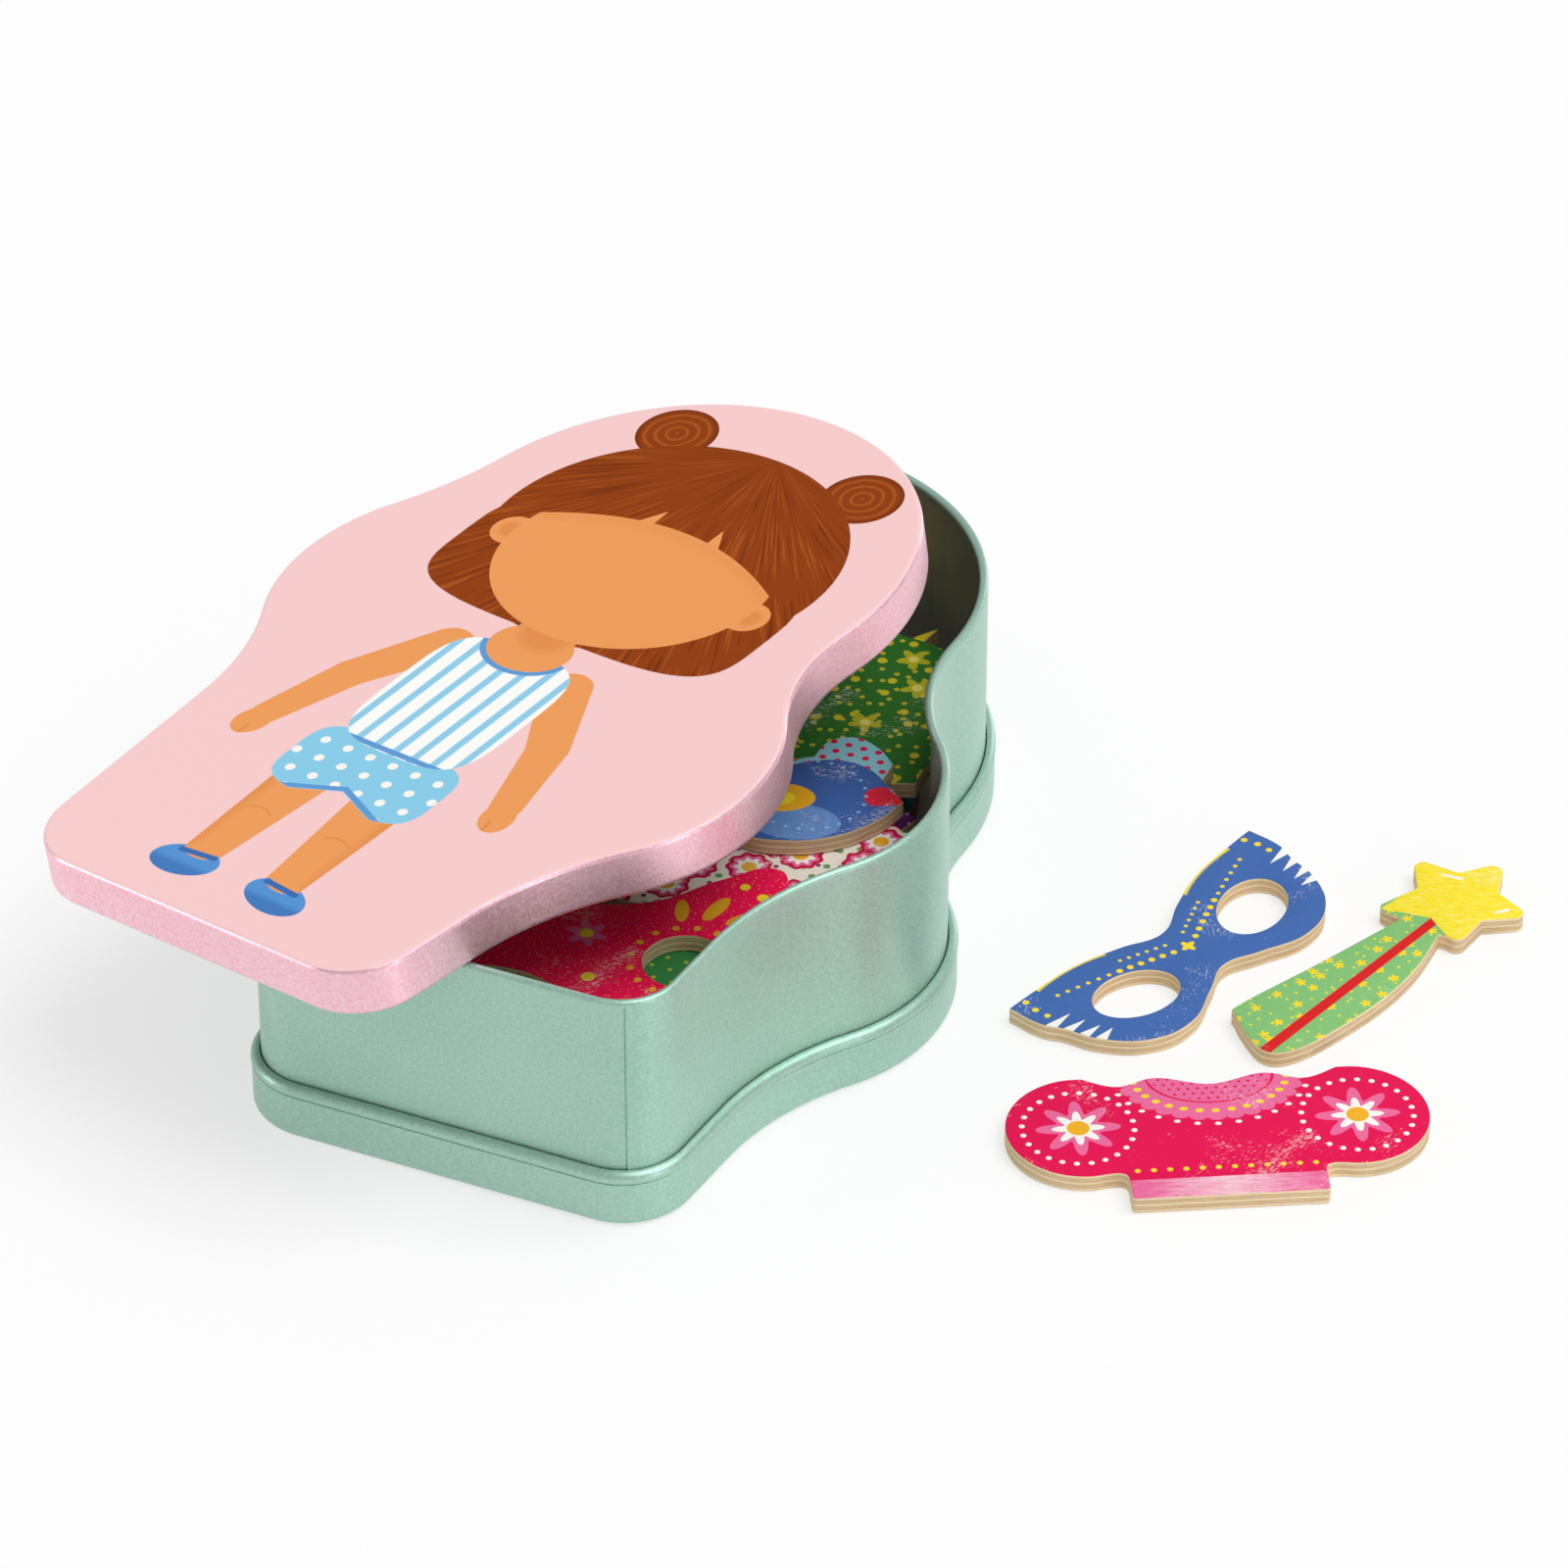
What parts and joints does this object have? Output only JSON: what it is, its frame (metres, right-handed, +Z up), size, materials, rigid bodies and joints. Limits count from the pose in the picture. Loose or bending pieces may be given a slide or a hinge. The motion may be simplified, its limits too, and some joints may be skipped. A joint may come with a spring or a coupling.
{
  "type": "magnetic dress-up doll",
  "caption": "Doll-shaped steel tin with a slip lid lying across its mouth, holding flat plywood clothes that have disc magnets let into their backs.",
  "frame": {"origin": "on the tin's underside, on the doll's axis, halfway along the tin's length", "axes": "+Z up, +Y from the doll's feet to its head, +X to the side where the loose pieces lie"},
  "size_m": [0.2796, 0.2307, 0.0786],
  "materials": {
    "mint_tinplate": "satin metallic enamel outside, bare tinplate inside",
    "pink_tinplate": "satin printed face, metallic skirt",
    "ferrite_magnet": "matte sintered ferrite",
    "plywood_crimson": "birch plywood, printed face, bare back and edges",
    "plywood_blue": "birch plywood, printed face, bare back and edges",
    "plywood_green": "birch plywood, printed face, bare back and edges",
    "plywood_leaf": "birch plywood, printed face, bare back and edges",
    "plywood_white": "birch plywood, printed face, bare back and edges",
    "plywood_purple": "birch plywood, printed face, bare back and edges",
    "plywood_yellow": "birch plywood, printed face, bare back and edges",
    "plywood_navy": "birch plywood, printed face, bare back and edges",
    "plywood_orange": "birch plywood, printed face, bare back and edges",
    "plywood_sky": "birch plywood, printed face, bare back and edges",
    "plywood_rose": "birch plywood, printed face, bare back and edges"
  },
  "bodies": {
    "tin": {"tin_wall": "mint_tinplate", "base_pan": "mint_tinplate"},
    "trousers": {"trousers": "plywood_navy", "trousers_magnet_1": "ferrite_magnet"},
    "wings": {"wings": "plywood_sky", "wings_magnet_1": "ferrite_magnet"},
    "flared_skirt": {"flared_skirt": "plywood_rose", "flared_skirt_magnet_1": "ferrite_magnet", "flared_skirt_magnet_2": "ferrite_magnet"},
    "brim_hat": {"brim_hat": "plywood_navy", "brim_hat_magnet_1": "ferrite_magnet"},
    "coat": {"coat": "plywood_sky", "coat_magnet_1": "ferrite_magnet"},
    "hair_bow": {"hair_bow": "plywood_rose", "hair_bow_magnet_1": "ferrite_magnet"},
    "shorts": {"shorts": "plywood_orange", "shorts_magnet_1": "ferrite_magnet", "shorts_magnet_2": "ferrite_magnet"},
    "hood": {"hood": "plywood_crimson", "hood_magnet_1": "ferrite_magnet"},
    "tunic": {"tunic": "plywood_purple", "tunic_magnet_1": "ferrite_magnet"},
    "beret": {"beret": "plywood_orange", "beret_magnet_1": "ferrite_magnet"},
    "jacket": {"jacket": "plywood_navy", "jacket_magnet_1": "ferrite_magnet"},
    "round_skirt": {"round_skirt": "plywood_purple", "round_skirt_magnet_1": "ferrite_magnet"},
    "crown": {"crown": "plywood_yellow", "crown_magnet_1": "ferrite_magnet"},
    "vest": {"vest": "plywood_leaf", "vest_magnet_1": "ferrite_magnet"},
    "floral_skirt": {"floral_skirt": "plywood_white", "floral_skirt_magnet_1": "ferrite_magnet", "floral_skirt_magnet_2": "ferrite_magnet"},
    "cape": {"cape": "plywood_leaf", "cape_magnet_1": "ferrite_magnet", "cape_magnet_2": "ferrite_magnet"},
    "party_mask": {"party_mask": "plywood_crimson", "party_mask_magnet_1": "ferrite_magnet", "party_mask_magnet_2": "ferrite_magnet"},
    "bird": {"bird": "plywood_blue", "bird_magnet_1": "ferrite_magnet"},
    "lid": {"lid": "pink_tinplate"},
    "eye_mask": {"eye_mask": "plywood_blue", "eye_mask_magnet_1": "ferrite_magnet"},
    "star_wand": {"star_wand": "plywood_green", "star_wand_magnet_1": "ferrite_magnet", "star_wand_magnet_2": "ferrite_magnet"},
    "blouse": {"blouse": "plywood_crimson", "blouse_magnet_1": "ferrite_magnet", "blouse_magnet_2": "ferrite_magnet"}
  },
  "joints": [
    {"name": "trousers_lift", "type": "slide", "parent": "tin", "child": "trousers", "axis": [0, 0, 1], "range_m": [0, 0.066]},
    {"name": "wings_lift", "type": "slide", "parent": "trousers", "child": "wings", "axis": [0, 0, 1], "range_m": [0, 0.066]},
    {"name": "flared_skirt_lift", "type": "slide", "parent": "wings", "child": "flared_skirt", "axis": [0, 0, 1], "range_m": [0, 0.0617]},
    {"name": "brim_hat_lift", "type": "slide", "parent": "flared_skirt", "child": "brim_hat", "axis": [0, 0, 1], "range_m": [0, 0.0617]},
    {"name": "coat_lift", "type": "slide", "parent": "brim_hat", "child": "coat", "axis": [0, 0, 1], "range_m": [0, 0.0574]},
    {"name": "hair_bow_lift", "type": "slide", "parent": "coat", "child": "hair_bow", "axis": [0, 0, 1], "range_m": [0, 0.0574]},
    {"name": "shorts_lift", "type": "slide", "parent": "hair_bow", "child": "shorts", "axis": [0, 0, 1], "range_m": [0, 0.0531]},
    {"name": "hood_lift", "type": "slide", "parent": "shorts", "child": "hood", "axis": [0, 0, 1], "range_m": [0, 0.0531]},
    {"name": "tunic_lift", "type": "slide", "parent": "hood", "child": "tunic", "axis": [0, 0, 1], "range_m": [0, 0.0488]},
    {"name": "beret_lift", "type": "slide", "parent": "tunic", "child": "beret", "axis": [0, 0, 1], "range_m": [0, 0.0488]},
    {"name": "jacket_lift", "type": "slide", "parent": "beret", "child": "jacket", "axis": [0, 0, 1], "range_m": [0, 0.0445]},
    {"name": "round_skirt_lift", "type": "slide", "parent": "jacket", "child": "round_skirt", "axis": [0, 0, 1], "range_m": [0, 0.0445]},
    {"name": "crown_lift", "type": "slide", "parent": "round_skirt", "child": "crown", "axis": [0, 0, 1], "range_m": [0, 0.0445]},
    {"name": "vest_lift", "type": "slide", "parent": "crown", "child": "vest", "axis": [0, 0, 1], "range_m": [0, 0.0402]},
    {"name": "floral_skirt_lift", "type": "slide", "parent": "vest", "child": "floral_skirt", "axis": [0, 0, 1], "range_m": [0, 0.0402]},
    {"name": "cape_lift", "type": "slide", "parent": "floral_skirt", "child": "cape", "axis": [0, 0, 1], "range_m": [0, 0.0402]},
    {"name": "party_mask_lift", "type": "slide", "parent": "cape", "child": "party_mask", "axis": [0, 0, 1], "range_m": [0, 0.0359]},
    {"name": "bird_lift", "type": "slide", "parent": "party_mask", "child": "bird", "axis": [0, 0, 1], "range_m": [0, 0.0359]},
    {"name": "lid_lift", "type": "slide", "parent": "bird", "child": "lid", "axis": [0, 0, 1], "range_m": [0, 0.1]},
    {"name": "eye_mask_lift", "type": "slide", "parent": "tin", "child": "eye_mask", "axis": [0, 0, 1], "range_m": [0, 0.08]},
    {"name": "star_wand_lift", "type": "slide", "parent": "tin", "child": "star_wand", "axis": [0, 0, 1], "range_m": [0, 0.08]},
    {"name": "blouse_lift", "type": "slide", "parent": "tin", "child": "blouse", "axis": [0, 0, 1], "range_m": [0, 0.08]}
  ]
}
